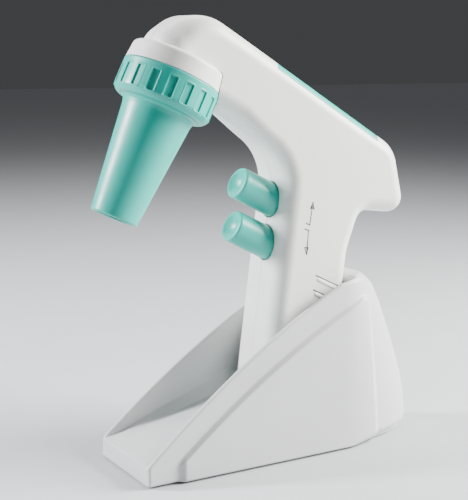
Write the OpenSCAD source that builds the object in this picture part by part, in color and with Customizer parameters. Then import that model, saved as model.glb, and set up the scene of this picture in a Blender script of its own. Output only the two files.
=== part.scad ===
// Motorised pipette controller resting in its bench stand.
// Millimetres. +Z is up, the nose points towards -Y, and the user's left side is +X.
// The origin is the middle of the stand's footprint, on the bench.

/* [Handset] */
// Half of the handset's width
half_w = 15; // [14:0.5:17]
// Radius of the long outer edges
edge_r = 7; // [5:0.5:8]
// Wall thickness of the two housing halves
wall = 2.2; // [1.8:0.1:2.6]
// Backward lean of the handle
lean = 6.8; // [5:0.1:8]
// Downward slope of the arm's top line
arm_slope = 30.9; // [30:0.1:32]

/* [Nosepiece] */
// Tilt of the nose axis, forward from vertical
nose_tilt = 25.6; // [24:0.1:27]
// Outer radius of the ring nut
ring_r = 21; // [20.5:0.1:21.4]
// Height of the ring nut
ring_h = 14.4; // [14:0.1:15]
// Number of grip slots round the ring nut
grip_slots = 18; // [12:1:24]
// Length of the cone below the collar
cone_len = 63.3; // [58:0.1:66]
// Outer radius at the mouth of the cone
mouth_r = 10.2; // [9.6:0.1:11]
// Outer radius of the cone where it leaves the ring nut
root_r = 15.3; // [15:0.1:15.6]
// Radius of the silicone bore that grips a pipette
pipette_r = 3.75; // [3:0.05:4.2]

/* [Triggers] */
// Outer radius of a trigger
trigger_r = 7.2; // [6.5:0.1:7.4]
// Upward tilt of the trigger axes
trigger_tilt = 26.5; // [25:0.5:28]
// Distance between the two trigger axes
trigger_pitch = 18; // [17.4:0.1:18.6]
// Press travel of a trigger
trigger_travel = 4; // [3:0.5:4.5]

/* [Stand] */
// Length of the stand
stand_len = 150; // [140:1:160]
// Half of the stand's width, without the raised side panels
stand_half_w = 23.1; // [22:0.1:24]
// How far the side panels stand out
panel_out = 1.9; // [0:0.1:2.5]
// Height of the front lip
lip_h = 8.9; // [8:0.1:10]
// Thickness of the stand's walls
stand_wall = 2.8; // [2.2:0.1:3.2]
// Gap under the stand, held by the rubber feet
foot_gap = 0.8; // [0.5:0.1:1.2]

/* [Hidden] */
$fn = 64;

white = [0.93, 0.93, 0.91];
teal = [0.42, 0.82, 0.76];
rubber_black = [0.12, 0.12, 0.13];
steel = [0.72, 0.73, 0.75];
clearance = 0.3;
tiny = 0.05;

// ---- outline helpers: corners are [y, z, radius], listed anticlockwise ----
arc_steps = 7;

function unit(v) = v / norm(v);
function left_of(v) = [-v[1], v[0]];
function cross2(a, b) = a[0] * b[1] - a[1] * b[0];
function spin(v, a) = [v[0] * cos(a) - v[1] * sin(a), v[0] * sin(a) + v[1] * cos(a)];
function at(c) = [c[0], c[1]];
function meet(p, u, q, v) = p + u * cross2(q - p, v) / cross2(u, v);

// The corner's unit directions in and out, and its signed turn
function way_in(c, i) = unit(at(c[i]) - at(c[(i + len(c) - 1) % len(c)]));
function way_out(c, i) = unit(at(c[(i + 1) % len(c)]) - at(c[i]));
function turn(c, i) = atan2(cross2(way_in(c, i), way_out(c, i)), way_in(c, i) * way_out(c, i));

// The same outline moved inwards by d, with its corner radii following
function inset(c, d) = [
    for (i = [0 : len(c) - 1])
        let (u = way_in(c, i), v = way_out(c, i), b = at(c[i]))
        let (m = meet(b + d * left_of(u), u, b + d * left_of(v), v))
        [m[0], m[1], max(0, c[i][2] - sign(turn(c, i)) * d)]
];

function corner_arc(c, i) =
    let (a = turn(c, i), r = c[i][2], s = sign(a), u = way_in(c, i))
    let (start = at(c[i]) - u * r * tan(abs(a) / 2), centre = start + s * r * left_of(u))
    [for (k = [0 : arc_steps]) centre + spin(start - centre, a * k / arc_steps)];

function rounded(c) = [
    for (i = [0 : len(c) - 1])
        each (c[i][2] > 0 ? corner_arc(c, i) : [at(c[i])])
];

// A side-view outline, given as [y, z], made solid from x0 to x1
module side_plate(points, x0, x1) {
    translate([x0, 0, 0]) rotate([90, 0, 90]) linear_extrude(x1 - x0) polygon(points);
}

// ---- handset outline ----
nose_y = -51.2;
nose_z = 167.5;
foot_front = [-15.1, 12.5];
foot_depth = 37.3;
lean_dir = [sin(lean), cos(lean)];
across_dir = [cos(lean), -sin(lean)];
foot_back = foot_front + foot_depth * across_dir;
nose_across = [cos(nose_tilt), -sin(nose_tilt)];
arm_dir = [cos(arm_slope), -sin(arm_slope)];
arm_up = [sin(arm_slope), cos(arm_slope)];
head_top = [-43.6, 195.8];
tail_top = head_top + 117.8 * arm_dir;

body = [
    [foot_front[0], foot_front[1], 5],
    [foot_back[0], foot_back[1], 5],
    [32.4, 89.9, 25],
    [38.8, 107.1, 6],
    [65.2, 104, 7],
    [tail_top[0], tail_top[1], 16],
    [head_top[0], head_top[1], 19.5],
    [-59.8, 185.6, 11.5],
    [nose_y - 10 * nose_across[0], nose_z - 10 * nose_across[1], 0],
    [nose_y + 22 * nose_across[0], nose_z + 22 * nose_across[1], 0],
    [-26.2, 151, 12],
    [-0.6, 131.4, 23]
];

// Inset of the rounded edge at a distance x from the middle plane
flat_w = half_w - edge_r;
function edge_inset(x) = edge_r - sqrt(edge_r * edge_r - pow(max(0, x - flat_w), 2));
edge_x = [0, flat_w, flat_w + 0.45 * edge_r, flat_w + 0.78 * edge_r, half_w];

// Solid handset on the +X side, with its long edge rounded in four steps
module half_body() {
    for (i = [0 : len(edge_x) - 2]) {
        side_plate(rounded(inset(body, edge_inset((edge_x[i] + edge_x[i + 1]) / 2) + tiny)),
                   max(0, edge_x[i] - tiny), edge_x[i + 1]);
    }
}

cavity_step_x = flat_w + 0.5;
module half_cavity() {
    side_plate(rounded(inset(body, wall)), -1, cavity_step_x);
    side_plate(rounded(inset(body, wall + 0.4 * edge_r)), -1, half_w - wall);
}

// ---- frames ----
module in_nose() { translate([0, nose_y, nose_z]) rotate([-nose_tilt, 0, 0]) children(); }

handle_foot = (foot_front + foot_back) / 2;
module in_handle() {
    translate([0, handle_foot[0], handle_foot[1]]) rotate([-lean, 0, 0]) children();
}

// Arm frame: Y runs down the arm from the front edge of the battery cover, Z stands off it
cover_start = 43.5;
cover_front = head_top + cover_start * arm_dir;
module in_arm() {
    translate([0, cover_front[0], cover_front[1]]) rotate([-arm_slope, 0, 0]) children();
}

// Trigger frame: Z runs inwards along the press, from the middle of the finger dish
upper_dish = [-19.7, 122];
lower_step = 6;
press_dir = [cos(trigger_tilt), -sin(trigger_tilt)];
lower_dish = upper_dish + lower_step * press_dir
    - trigger_pitch * [sin(trigger_tilt), cos(trigger_tilt)];
module in_trigger(dish) {
    translate([0, dish[0], dish[1]]) rotate([-90 - trigger_tilt, 0, 0]) children();
}
module in_both_triggers() {
    in_trigger(upper_dish) children();
    in_trigger(lower_dish) children();
}

// ---- collar and nose sizes, in the nose frame ----
collar_h = 8.4;
collar_r = 20.7;
neck_r = 14.4;
spigot_r = 18;
spigot_h = 6;
neck_bore_r = 12.2;
floor_t = 2.2;

// ---- housing ----
cover_len = 66;
cover_t = 2;
hinge_r = 1.6;
hinge_bore_r = 0.65;
pin_half_w = 11;
hinge_y = cover_len - hinge_r;
hinge_half_w = 9;
skin_len = hinge_y - 1.8;
// Notch behind the cover's rear edge, deep enough for the edge to swing through
swing_gap = 0.95;
swing_drop = 1;

// Stepped skin of the battery cover; grow makes the matching cut-out
module cover_skin(grow) {
    for (i = [0 : 2]) {
        drop = edge_inset((edge_x[i] + edge_x[i + 1]) / 2);
        reach = edge_x[i + 1] + (i == 2 ? grow : 0);
        translate([-reach, -grow, -drop - cover_t - grow])
            cube([2 * reach, skin_len + 2 * grow, cover_t + grow + (grow > 0 ? 8 : -tiny)]);
    }
}

screw_r = 1.25;
screw_boss_r = 3;
screw_spots = [[-10.3, 18], [28.2, 84], [54, 109.3], [-15, 171.5], [-38, 189]];

module along_x(x0, x1, r) {
    translate([x0, 0, 0]) rotate([0, 90, 0]) cylinder(r = r, h = x1 - x0);
}

module at_screws() {
    for (p = screw_spots) translate([0, p[0], p[1]]) children();
}

jack_z = 121;
tail_dir = unit(tail_top - [65.2, 104]);
jack_at = [65.2, 104] + tail_dir * (jack_z - 104) / tail_dir[1];
tail_lean = atan2(-tail_dir[0], tail_dir[1]);
jack_r = 4.2;
// Jack frame: Z points out of the rear face
module in_jack() {
    translate([0, jack_at[0], jack_at[1]]) rotate([-90 + tail_lean, 0, 0]) children();
}

battery_len = 50;
battery_r = 9;
hatch_half_w = 10.4;

module housing_cuts() {
    in_both_triggers() translate([0, 0, 8]) cylinder(r = trigger_r + clearance, h = 22);
    in_arm() {
        cover_skin(clearance);
        translate([-hatch_half_w, 3, -8]) cube([2 * hatch_half_w, battery_len + 6, 12]);
        translate([0, hinge_y, -hinge_r]) {
            along_x(-hinge_half_w - clearance, hinge_half_w + clearance, hinge_r + clearance);
            along_x(-pin_half_w, pin_half_w, hinge_bore_r + 0.02);
        }
        translate([-hinge_half_w - clearance, skin_len - 1, -cover_t - clearance])
            cube([2 * (hinge_half_w + clearance), hinge_y - skin_len + 1, 6]);
        translate([-edge_x[3] - clearance, skin_len, -swing_drop])
            cube([2 * (edge_x[3] + clearance), swing_gap, 3]);
    }
    in_nose() {
        tube(collar_r + 0.15, neck_r, -30, collar_h + 0.1);
        translate([0, 0, -30]) cylinder(r = collar_r + 0.15, h = 30.1);
        translate([0, 0, -30]) cylinder(r = neck_bore_r, h = 45);
    }
    in_jack() translate([0, 0, -4]) cylinder(r = jack_r + 0.1, h = 8);
}

// Material left round the collar: the neck that carries it, its floor and its jacket
module neck_block() {
    in_nose() translate([0, 0, -30]) cylinder(r = collar_r + 2.3, h = 30 + collar_h + floor_t);
}

module housing_half(boss_bore) {
    difference() {
        union() {
            difference() {
                half_body();
                difference() {
                    half_cavity();
                    neck_block();
                }
                housing_cuts();
            }
            at_screws() along_x(tiny, half_w - wall + 0.4, screw_boss_r);
        }
        at_screws() along_x(-1, boss_bore, screw_r + 0.02);
    }
}

module housing_left() { color(white) housing_half(half_w - wall - 1); }

screw_head_r = 2.4;
screw_head_x = half_w - 4.2;
module housing_right() {
    color(white) mirror([1, 0, 0]) difference() {
        housing_half(half_w + 1);
        at_screws() along_x(screw_head_x, half_w + 1, screw_head_r + 0.1);
    }
}

module housing_screws() {
    color(steel) at_screws() difference() {
        union() {
            along_x(-screw_head_x - tiny, half_w - wall - 1.4, screw_r);
            along_x(-screw_head_x - 1.8, -screw_head_x - tiny, screw_head_r);
        }
        translate([-screw_head_x - 1.9, 0, 0]) {
            cube([1.6, 3, 0.6], center = true);
            cube([1.6, 0.6, 3], center = true);
        }
    }
}

// ---- battery cover ----
module battery_cover() {
    color(teal) in_arm() difference() {
        union() {
            cover_skin(0);
            translate([0, hinge_y, -hinge_r])
                along_x(-hinge_half_w, hinge_half_w, hinge_r - tiny);
            translate([-hinge_half_w, skin_len - 0.5, -cover_t])
                cube([2 * hinge_half_w, hinge_y - skin_len + 0.5, cover_t - tiny]);
            translate([-6, 5, -1]) cube([12, 1.2, 1.6]);
            translate([-4, 3, -1]) cube([8, 3.6, 1.3]);
            translate([-5, 0.1, -cover_t - 1.6]) cube([10, 1.4, 2]);
        }
        translate([0, hinge_y, -hinge_r]) along_x(-half_w, half_w, hinge_bore_r + 0.05);
    }
}

module cover_pin() {
    color(steel) in_arm() translate([0, hinge_y, -hinge_r])
        along_x(0.1 - pin_half_w, pin_half_w - 0.1, hinge_bore_r);
}

// ---- nose ----
module tube(r_out, r_in, z0, z1) {
    difference() {
        translate([0, 0, z0]) cylinder(r = r_out, h = z1 - z0);
        translate([0, 0, z0 - 1]) cylinder(r = r_in, h = z1 - z0 + 2);
    }
}

module turned(points) { rotate_extrude() polygon(points); }

module nose_collar() {
    color(white) in_nose() turned([
        [neck_r + 0.05, collar_h], [neck_r + 0.05, 0], [neck_r + 0.05, -spigot_h],
        [spigot_r, -spigot_h], [spigot_r, 0.1], [collar_r, 0.1],
        [collar_r - 0.3, collar_h - 1.6], [collar_r - 0.9, collar_h - 0.4],
        [collar_r - 2, collar_h]
    ]);
}

lip_bore_r = root_r + 0.7;
lip_t = 2;
slot_w = 3.2;
slot_h = 8.6;
slot_low = -11.7;
slot_deep = 0.6;
slot_phase = 0.2;
module ring_nut() {
    color(teal) in_nose() difference() {
        turned([
            [spigot_r + 0.2, -0.1], [spigot_r + 0.2, -ring_h + lip_t],
            [lip_bore_r, -ring_h + lip_t], [lip_bore_r, -ring_h],
            [ring_r - 2.6, -ring_h], [ring_r - 1, -ring_h + 0.9],
            [ring_r - 0.2, -ring_h + 2.4], [ring_r, -ring_h + 4], [ring_r - 0.3, -0.1]
        ]);
        for (k = [0 : grip_slots - 1]) {
            rotate((k - slot_phase) * 360 / grip_slots)
                translate([ring_r - slot_deep, -slot_w / 2, slot_low])
                    cube([3, slot_w, slot_h]);
        }
    }
}

cone_wall = 1.8;
flange_r = 17.6;
flange_top = -spigot_h - 1.8;
module nose_cone() {
    color(teal) in_nose() turned([
        [mouth_r - 0.9, -cone_len], [mouth_r - 0.2, -cone_len + 0.4],
        [mouth_r, -cone_len + 1.2], [root_r, -ring_h + 0.3],
        [root_r, -ring_h + lip_t + 0.1], [flange_r, -ring_h + lip_t + 0.1],
        [flange_r, flange_top], [root_r - cone_wall, flange_top],
        [root_r - cone_wall, -ring_h + 1], [mouth_r - cone_wall, -cone_len + 2.4],
        [mouth_r - cone_wall - 0.5, -cone_len]
    ]);
}

module cone_seal() {
    color(rubber_black) in_nose() tube(17.4, 15, flange_top, -spigot_h);
}

// Silicone adapter: a tapered plug that fills the cone's lower half
adapter_top = -36;
function cone_inside(z) = mouth_r - cone_wall
    + (root_r - mouth_r) * (z + cone_len - 2.4) / (cone_len - ring_h - 1.4);
module pipette_adapter() {
    color([0.75, 0.76, 0.74]) in_nose() turned([
        [5.4, -cone_len + 2.6], [cone_inside(-cone_len + 2.6) - 0.1, -cone_len + 2.6],
        [cone_inside(adapter_top) - 0.1, adapter_top], [6, adapter_top],
        [6, adapter_top - 3], [pipette_r, adapter_top - 6],
        [pipette_r, -cone_len + 6.5]
    ]);
}

// Disc filter with a barb on each face
filter_z = -22;
filter_r = 11.9;
barb_r = 1.7;
barb_bore_r = 0.9;
module membrane_filter() {
    color([0.85, 0.88, 0.92]) in_nose() turned([
        [barb_bore_r, filter_z - 12], [barb_r, filter_z - 12], [barb_r, filter_z - 2],
        [filter_r - 1, filter_z - 2], [filter_r, filter_z - 1], [filter_r, filter_z + 1],
        [filter_r - 1, filter_z + 2], [barb_r, filter_z + 2], [barb_r, filter_z + 18],
        [barb_bore_r, filter_z + 18]
    ]);
}

port_top = 11.5;
module nose_port() {
    color([0.25, 0.26, 0.28]) in_nose() turned([
        [barb_r + 0.04, filter_z + 12], [4.2, filter_z + 12], [4.2, 2],
        [neck_bore_r - 0.05, 2], [neck_bore_r - 0.05, 5], [4.2, 5], [4.2, 8],
        [barb_r, 8], [barb_r, port_top], [barb_bore_r, port_top],
        [barb_bore_r, 0], [barb_r + 0.04, 0]
    ]);
}

// ---- triggers and valves ----
trigger_in = 27;
trigger_flange_t = 1.5;
trigger_flange_r = 8.4;
stem_r = 2.2;
dish_r = 18;
dish_deep = 1.7;
spring_room = 5.5;
block_front = trigger_in + trigger_flange_t + trigger_travel + spring_room;
block_back = 53;

// A round finger piece with a concave dish and a retaining flange inside the handle
module finger_piece() {
    difference() {
        union() {
            turned([[0, 0], [trigger_r - 1, 0], [trigger_r - 0.3, 0.3], [trigger_r, 1],
                    [trigger_r, trigger_in], [0, trigger_in]]);
            translate([0, 0, trigger_in - tiny])
                cylinder(r = trigger_flange_r, h = trigger_flange_t + tiny);
        }
        translate([0, 0, dish_deep - dish_r]) sphere(r = dish_r, $fn = 96);
        translate([0, 0, trigger_in - 6]) cylinder(r = stem_r, h = 10);
    }
}

module aspirate_trigger() { color(teal) in_trigger(upper_dish) finger_piece(); }
module dispense_trigger() { color(teal) in_trigger(lower_dish) finger_piece(); }

module valve_stem() {
    turned([[0, trigger_in - 6], [stem_r, trigger_in - 6], [stem_r, block_front + 7],
            [stem_r - 1.2, block_front + 9], [0, block_front + 9]]);
}

module aspirate_plunger() { color(steel) in_trigger(upper_dish) valve_stem(); }
module dispense_plunger() { color(steel) in_trigger(lower_dish) valve_stem(); }

// Compression spring between the trigger's flange and the valve block
spring_wire_r = 0.35;
spring_mean_r = 3.6;
spring_turns = 5;
spring_rings = 9;
spring_from = trigger_in + trigger_flange_t;

function helix(k, n) =
    let (a = 360 * spring_turns * k / n)
    [spring_mean_r * cos(a), spring_mean_r * sin(a),
     spring_from + spring_wire_r + 0.05
     + (block_front - spring_from - 2 * spring_wire_r - 0.1) * k / n];

// ---- tube swept along a smooth path ----
function bend(p, i, t) =
    let (a = p[max(0, i - 1)], b = p[i], c = p[i + 1], d = p[min(len(p) - 1, i + 2)])
    0.5 * (2 * b + (c - a) * t + (2 * a - 5 * b + 4 * c - d) * t * t
        + (3 * b - a - 3 * c + d) * t * t * t);
function smooth(p, n) = [
    for (i = [0 : len(p) - 2], k = [0 : n - 1]) bend(p, i, k / n), p[len(p) - 1]
];
function heading(q, i) = unit(q[min(len(q) - 1, i + 1)] - q[max(0, i - 1)]);
function ring_at(q, i, r, sides, ref) =
    let (t = heading(q, i), side = unit(cross(ref, t)), up = cross(t, side))
    [for (s = [0 : sides - 1]) q[i] + r * (side * cos(360 * s / sides) + up * sin(360 * s / sides))];

module sweep(q, r, sides, ref) {
    n = len(q);
    points = [for (i = [0 : n - 1]) each ring_at(q, i, r, sides, ref)];
    skin = [for (i = [0 : n - 2], s = [0 : sides - 1])
        let (a = i * sides + s, b = i * sides + (s + 1) % sides)
        each [[a, b + sides, b], [a, a + sides, b + sides]]];
    start_cap = [for (s = [0 : sides - 1]) s];
    end_cap = [for (s = [sides - 1 : -1 : 0]) (n - 1) * sides + s];
    polyhedron(points, concat(skin, [start_cap, end_cap]), convexity = 6);
}

// A hose along the path p, with its bore run out past both ends
module hose(p, r_out, r_in) {
    q = smooth(p, 5);
    last = len(q) - 1;
    run_out = concat([q[0] - heading(q, 0)], q, [q[last] + heading(q, last)]);
    difference() {
        sweep(q, r_out, hose_sides, [1, 0, 0]);
        sweep(run_out, r_in, hose_sides, [1, 0, 0]);
    }
}

module coil_spring() {
    n = spring_turns * spring_rings;
    sweep([for (k = [0 : n]) helix(k, n)], spring_wire_r, 6, [0, 0, 1]);
}
module aspirate_spring() { color(steel) in_trigger(upper_dish) coil_spring(); }
module dispense_spring() { color(steel) in_trigger(lower_dish) coil_spring(); }

// Valve block: one stepped body with a plunger bore behind each trigger
block_half_w = 9.5;
block_over = 8;
hose_sides = 12;
hose_bore_r = barb_r / cos(180 / hose_sides) + 0.07;
hose_wall = 0.7;
barb_h = 4;
block_port_z = 50;
module block_barb(x) {
    translate([x, trigger_pitch + block_over - tiny, block_port_z]) rotate([-90, 0, 0])
        tube(barb_r, barb_bore_r, 0, barb_h);
}
module valve_block() {
    color([0.82, 0.83, 0.85]) in_trigger(upper_dish) difference() {
        union() {
            translate([-block_half_w, -block_over, block_front])
                cube([2 * block_half_w, block_over + trigger_pitch / 2, block_back - block_front]);
            translate([-block_half_w, trigger_pitch / 2 - tiny, block_front + lower_step])
                cube([2 * block_half_w, trigger_pitch / 2 + block_over + tiny,
                      block_back - block_front - lower_step]);
            translate([0, -block_over + tiny, block_port_z]) rotate([90, 0, 0])
                tube(barb_r, barb_bore_r, 0, barb_h);
            for (x = [-5, 5]) block_barb(x);
        }
        translate([0, 0, block_front - 1]) cylinder(r = stem_r + 0.03, h = 14);
        translate([0, trigger_pitch, block_front + lower_step - 1])
            cylinder(r = stem_r + 0.03, h = 14);
    }
}

// Two small switches that the trigger flanges close at the end of the press
module trigger_switches() {
    color(rubber_black) in_both_triggers() {
        translate([4.8, -3, block_front - 4]) cube([3.4, 6, 4]);
        translate([5.8, -0.8, block_front - 5]) cube([1.4, 1.6, 1.2]);
    }
}

// ---- pump, in the handle frame ----
motor_v = 2;
motor_r = 10;
motor_h = [5, 31];
shaft_r = 1;
pump_h = [31.6, 54];
pump_front_v = -10;
pump_back_v = 13.4;
pump_half_w = 11;
crank_h = 37;
crank_throw = 2;
chamber_r = 8;

module at_motor() { in_handle() translate([0, motor_v, 0]) children(); }

module pump_motor() {
    color(steel) at_motor() difference() {
        translate([0, 0, motor_h[0]]) cylinder(r = motor_r, h = motor_h[1] - motor_h[0]);
        translate([0, 0, motor_h[0] + 1.5])
            cylinder(r = motor_r - 0.8, h = motor_h[1] - motor_h[0] - 3);
        translate([0, 0, motor_h[0] - 1]) cylinder(r = shaft_r + 0.03, h = 40);
    }
}

module motor_rotor() {
    color([0.6, 0.45, 0.3]) at_motor() {
        translate([0, 0, motor_h[0] - 1]) cylinder(r = shaft_r, h = crank_h - motor_h[0] + 1);
        translate([0, 0, motor_h[0] + 4]) cylinder(r = 6.5, h = 18);
        translate([0, 0, crank_h - 2.5]) cylinder(r = 5, h = 2.5);
        translate([0, crank_throw, crank_h - tiny]) cylinder(r = shaft_r, h = 5);
    }
}

module pump_head() {
    color([0.2, 0.21, 0.22]) in_handle() difference() {
        union() {
            translate([-pump_half_w, pump_front_v, pump_h[0]])
                cube([2 * pump_half_w, pump_back_v - pump_front_v, pump_h[1] - pump_h[0]]);
            for (x = [-5, 5]) translate([x, 0, 0])
                tube(barb_r, barb_bore_r, pump_h[1] - tiny, pump_h[1] + barb_h);
        }
        translate([0, motor_v, pump_h[0] - 1]) cylinder(r = chamber_r, h = 16);
        translate([0, pump_front_v - 1, crank_h + 3]) rotate([-90, 0, 0])
            cylinder(r = 3.4, h = 12);
    }
}

// Yoke that the crank pin pushes, and its stem to the diaphragm
yoke_in = 3.4;
yoke_t = 1.6;
module pump_rod() {
    color(white) in_handle() {
        translate([0, motor_v, crank_h + 3]) difference() {
            cube([2 * (yoke_in + yoke_t), 2 * (yoke_in + yoke_t), 2.4], center = true);
            cube([2 * yoke_in, 2 * yoke_in, 4], center = true);
        }
        translate([0, pump_front_v, crank_h + 3]) rotate([-90, 0, 0])
            cylinder(r = 1.2, h = motor_v - yoke_in - yoke_t - pump_front_v + tiny);
    }
}

module pump_diaphragm() {
    color(rubber_black) in_handle() translate([0, pump_front_v - 1.4, crank_h + 3])
        rotate([-90, 0, 0]) cylinder(r = 7.5, h = 1.4);
}

module motor_cradle() {
    color(rubber_black) at_motor() difference() {
        translate([-half_w + wall + 0.05, -11.5, 14]) cube([2 * (half_w - wall) - 0.1, 23, 7]);
        translate([0, 0, 13]) cylinder(r = motor_r + 0.05, h = 9);
    }
}

// ---- hoses ----
function handle_point(x, v, h) =
    [x, handle_foot[0] + v * across_dir[0] + h * lean_dir[0],
     handle_foot[1] + v * across_dir[1] + h * lean_dir[1]];
function block_point(x, y, z) =
    [x, upper_dish[0] + z * press_dir[0] + y * press_dir[1],
     upper_dish[1] + z * press_dir[1] - y * press_dir[0]];
function nose_point(y, z) =
    [0, nose_y + y * cos(nose_tilt) + z * sin(nose_tilt),
     nose_z - y * sin(nose_tilt) + z * cos(nose_tilt)];
function arm_point(y, z) =
    [0, cover_front[0] + y * arm_dir[0] + z * arm_up[0],
     cover_front[1] + y * arm_dir[1] + z * arm_up[1]];

block_top = -block_over;
module nose_hose() {
    color([0.86, 0.88, 0.86]) hose([
        nose_point(0, 8.3), nose_point(0, port_top - 1), nose_point(0.4, port_top + 2),
        nose_point(4, 19), nose_point(12, 20.5), nose_point(20, 17.5), nose_point(26.5, 12),
        nose_point(31, 5.5), arm_point(1, -24.4), arm_point(8, -25), arm_point(18, -25.2),
        arm_point(30, -25), arm_point(42, -24.8), arm_point(51, -25.4), arm_point(59.4, -26.4),
        block_point(0, block_top - barb_h - 5.5, block_port_z),
        block_point(0, block_top - barb_h, block_port_z),
        block_point(0, block_top - 0.2, block_port_z)
    ], hose_bore_r + hose_wall, hose_bore_r);
}

module pump_hoses() {
    color([0.86, 0.88, 0.86]) for (x = [-5, 5]) hose([
        handle_point(x, 0, pump_h[1] + 0.2), handle_point(x, 0, pump_h[1] + barb_h / 2),
        handle_point(x, 0, pump_h[1] + barb_h + 0.3),
        block_point(x, trigger_pitch + block_over + barb_h + 0.3, block_port_z),
        block_point(x, trigger_pitch + block_over + barb_h / 2, block_port_z),
        block_point(x, trigger_pitch + block_over + 0.2, block_port_z)
    ], hose_bore_r + hose_wall, hose_bore_r);
}

// ---- electrics ----
battery_start = 4;
battery_drop = 12.9;
module battery_cell() {
    color([0.25, 0.45, 0.75]) in_arm() translate([0, battery_start, -battery_drop])
        rotate([-90, 0, 0]) {
            cylinder(r = battery_r, h = battery_len - 1);
            translate([0, 0, battery_len - 1 - tiny]) cylinder(r = 3, h = 1);
        }
}

module battery_tray() {
    color(rubber_black) in_arm() translate([0, battery_start - 1.4, -battery_drop])
        difference() {
            rotate([-90, 0, 0]) cylinder(r = battery_r + 1.2, h = battery_len + 2.8);
            translate([0, 1.3, 0]) rotate([-90, 0, 0])
                cylinder(r = battery_r + 0.1, h = battery_len + 0.2);
            translate([-20, -1, 0]) cube([40, battery_len + 5, 20]);
            translate([-4.5, -1, -20]) cube([9, battery_len + 5, 14]);
        }
}

board_y = 44;
module circuit_board() {
    color([0.1, 0.4, 0.25]) difference() {
        union() {
            translate([-11, board_y, 111.5]) cube([22, 1.6, 21.5]);
            translate([-8, board_y - 1.8, 116]) cube([6, 1.85, 6]);
            translate([2, board_y - 1.4, 124]) cube([7, 1.45, 4]);
            translate([-7, board_y + 1.55, 127]) cube([10, 2.6, 4]);
        }
        for (x = [-9, 9], z = [113.5, 131]) translate([x, board_y - 1, z])
            rotate([-90, 0, 0]) cylinder(r = 1, h = 4);
    }
}

socket_r = 2.75;
socket_pin_r = 0.8;
module charge_jack() {
    color(rubber_black) in_jack() {
        difference() {
            translate([0, 0, -11]) cylinder(r = jack_r, h = 11.3);
            translate([0, 0, -8]) cylinder(r = socket_r, h = 9);
        }
        translate([0, 0, -8 - tiny]) cylinder(r = socket_pin_r, h = 7);
    }
}

// ---- stand ----
stand_front = -stand_len / 2;
edge_slope = 0.89;
edge_curve = 0.0021;
deck_slope = 0.26;
tray_half_w = 20.2;
well_half_w = 18;
well_gap = 1.8;
flank_end = 25;
base_t = 2.4;
edge_run = 98;
edge_steps = 12;

// Height of the side walls' top edge, and of the deck, at a distance t behind the lip
function edge_z(t) = lip_h + edge_slope * t - edge_curve * t * t;
function deck_z(t) = lip_h + deck_slope * t;

stand_side = concat(
    [[stand_front, foot_gap, 0], [-stand_front, foot_gap, 0], [66.5, 42, 90],
     [53.5, 74.3, 9], [37, 79.2, 15]],
    [for (k = [0 : edge_steps]) let (t = edge_run * (1 - k / edge_steps))
        [stand_front + t, edge_z(t), 0]]
);

// Footprint, as [x, y], with a half-elliptical back, moved inwards by d
function footprint(d) = concat(
    [[-stand_half_w + d, stand_front + d], [stand_half_w - d, stand_front + d]],
    [for (a = [0 : 10 : 180])
        [(stand_half_w - d) * cos(a), flank_end + (-stand_front - flank_end - d) * sin(a)]]
);

// Raised panel on each side, a band's width below the top edge
panel_drop = 12.6;
panel_ends = [16, 109];
panel_side = concat(
    [[stand_front + panel_ends[0] - 4.5, foot_gap], [45, foot_gap], [42, 39], [38.6, 67.5]],
    [for (k = [0 : edge_steps])
        let (t = panel_ends[1] - (panel_ends[1] - panel_ends[0]) * k / edge_steps)
        [stand_front + t, edge_z(t) - panel_drop]],
    [[stand_front + panel_ends[0] - 4.5, edge_z(panel_ends[0]) - panel_drop - 4]]
);

deck_end = 58;
module tray_space() {
    side_plate([[stand_front - 1, deck_z(-1)], [stand_front + deck_end, deck_z(deck_end)],
                [stand_front + deck_end, 120], [stand_front - 1, 120]],
               -tray_half_w, tray_half_w);
}

module well_space(grow) {
    in_handle() translate([-well_half_w - grow, -foot_depth / 2 - well_gap - grow, -2 - grow])
        cube([2 * (well_half_w + grow), foot_depth + 2 * (well_gap + grow), 130]);
}

module stand_hollow() {
    difference() {
        intersection() {
            side_plate(rounded(inset(stand_side, stand_wall)), -tray_half_w, tray_half_w);
            translate([0, 0, 0.1]) linear_extrude(100) polygon(footprint(stand_wall + 1));
            translate([-30, stand_front + 4, 0]) cube([60, stand_len, 74]);
        }
        well_space(stand_wall);
        side_plate([[stand_front - 1, deck_z(-1) - stand_wall],
                    [stand_front + deck_end + 4, deck_z(deck_end + 4) - stand_wall],
                    [stand_front + deck_end + 14, 120], [stand_front - 1, 120]], -30, 30);
    }
}

foot_spots = [[-13.5, -62], [13.5, -62], [-13, 35], [13, 35]];
stand_screw_spots = [[-15, -50], [15, -50], [-14.8, 46], [14.8, 46]];

module stand_body() {
    intersection() {
        side_plate(rounded(stand_side), -stand_half_w - 1, stand_half_w + 1);
        linear_extrude(100) polygon(footprint(0));
    }
    intersection() {
        side_plate(panel_side, -stand_half_w - panel_out - 1, stand_half_w + panel_out + 1);
        linear_extrude(90) polygon(footprint(-panel_out));
    }
}

module stand_shell() {
    color(white) difference() {
        union() {
            difference() {
                stand_body();
                tray_space();
                well_space(0);
                stand_hollow();
                linear_extrude(foot_gap + base_t + 0.1) polygon(footprint(stand_wall - 0.1));
            }
            for (p = stand_screw_spots) translate([p[0], p[1], foot_gap + base_t + 0.1])
                cylinder(r = 3.4, h = 10.4);
        }
        for (p = stand_screw_spots) translate([p[0], p[1], 0])
            cylinder(r = screw_r + 0.02, h = 9);
    }
}

module stand_base() {
    color(white) difference() {
        translate([0, 0, foot_gap]) linear_extrude(base_t) polygon(footprint(stand_wall));
        for (p = foot_spots) translate([p[0], p[1], -1]) cylinder(r = 5.1, h = foot_gap + 1.6);
        for (p = stand_screw_spots) translate([p[0], p[1], -1]) {
            cylinder(r = screw_r + 0.1, h = 8);
            cylinder(r = screw_head_r + 0.1, h = foot_gap + 2.2);
        }
    }
}

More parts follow.
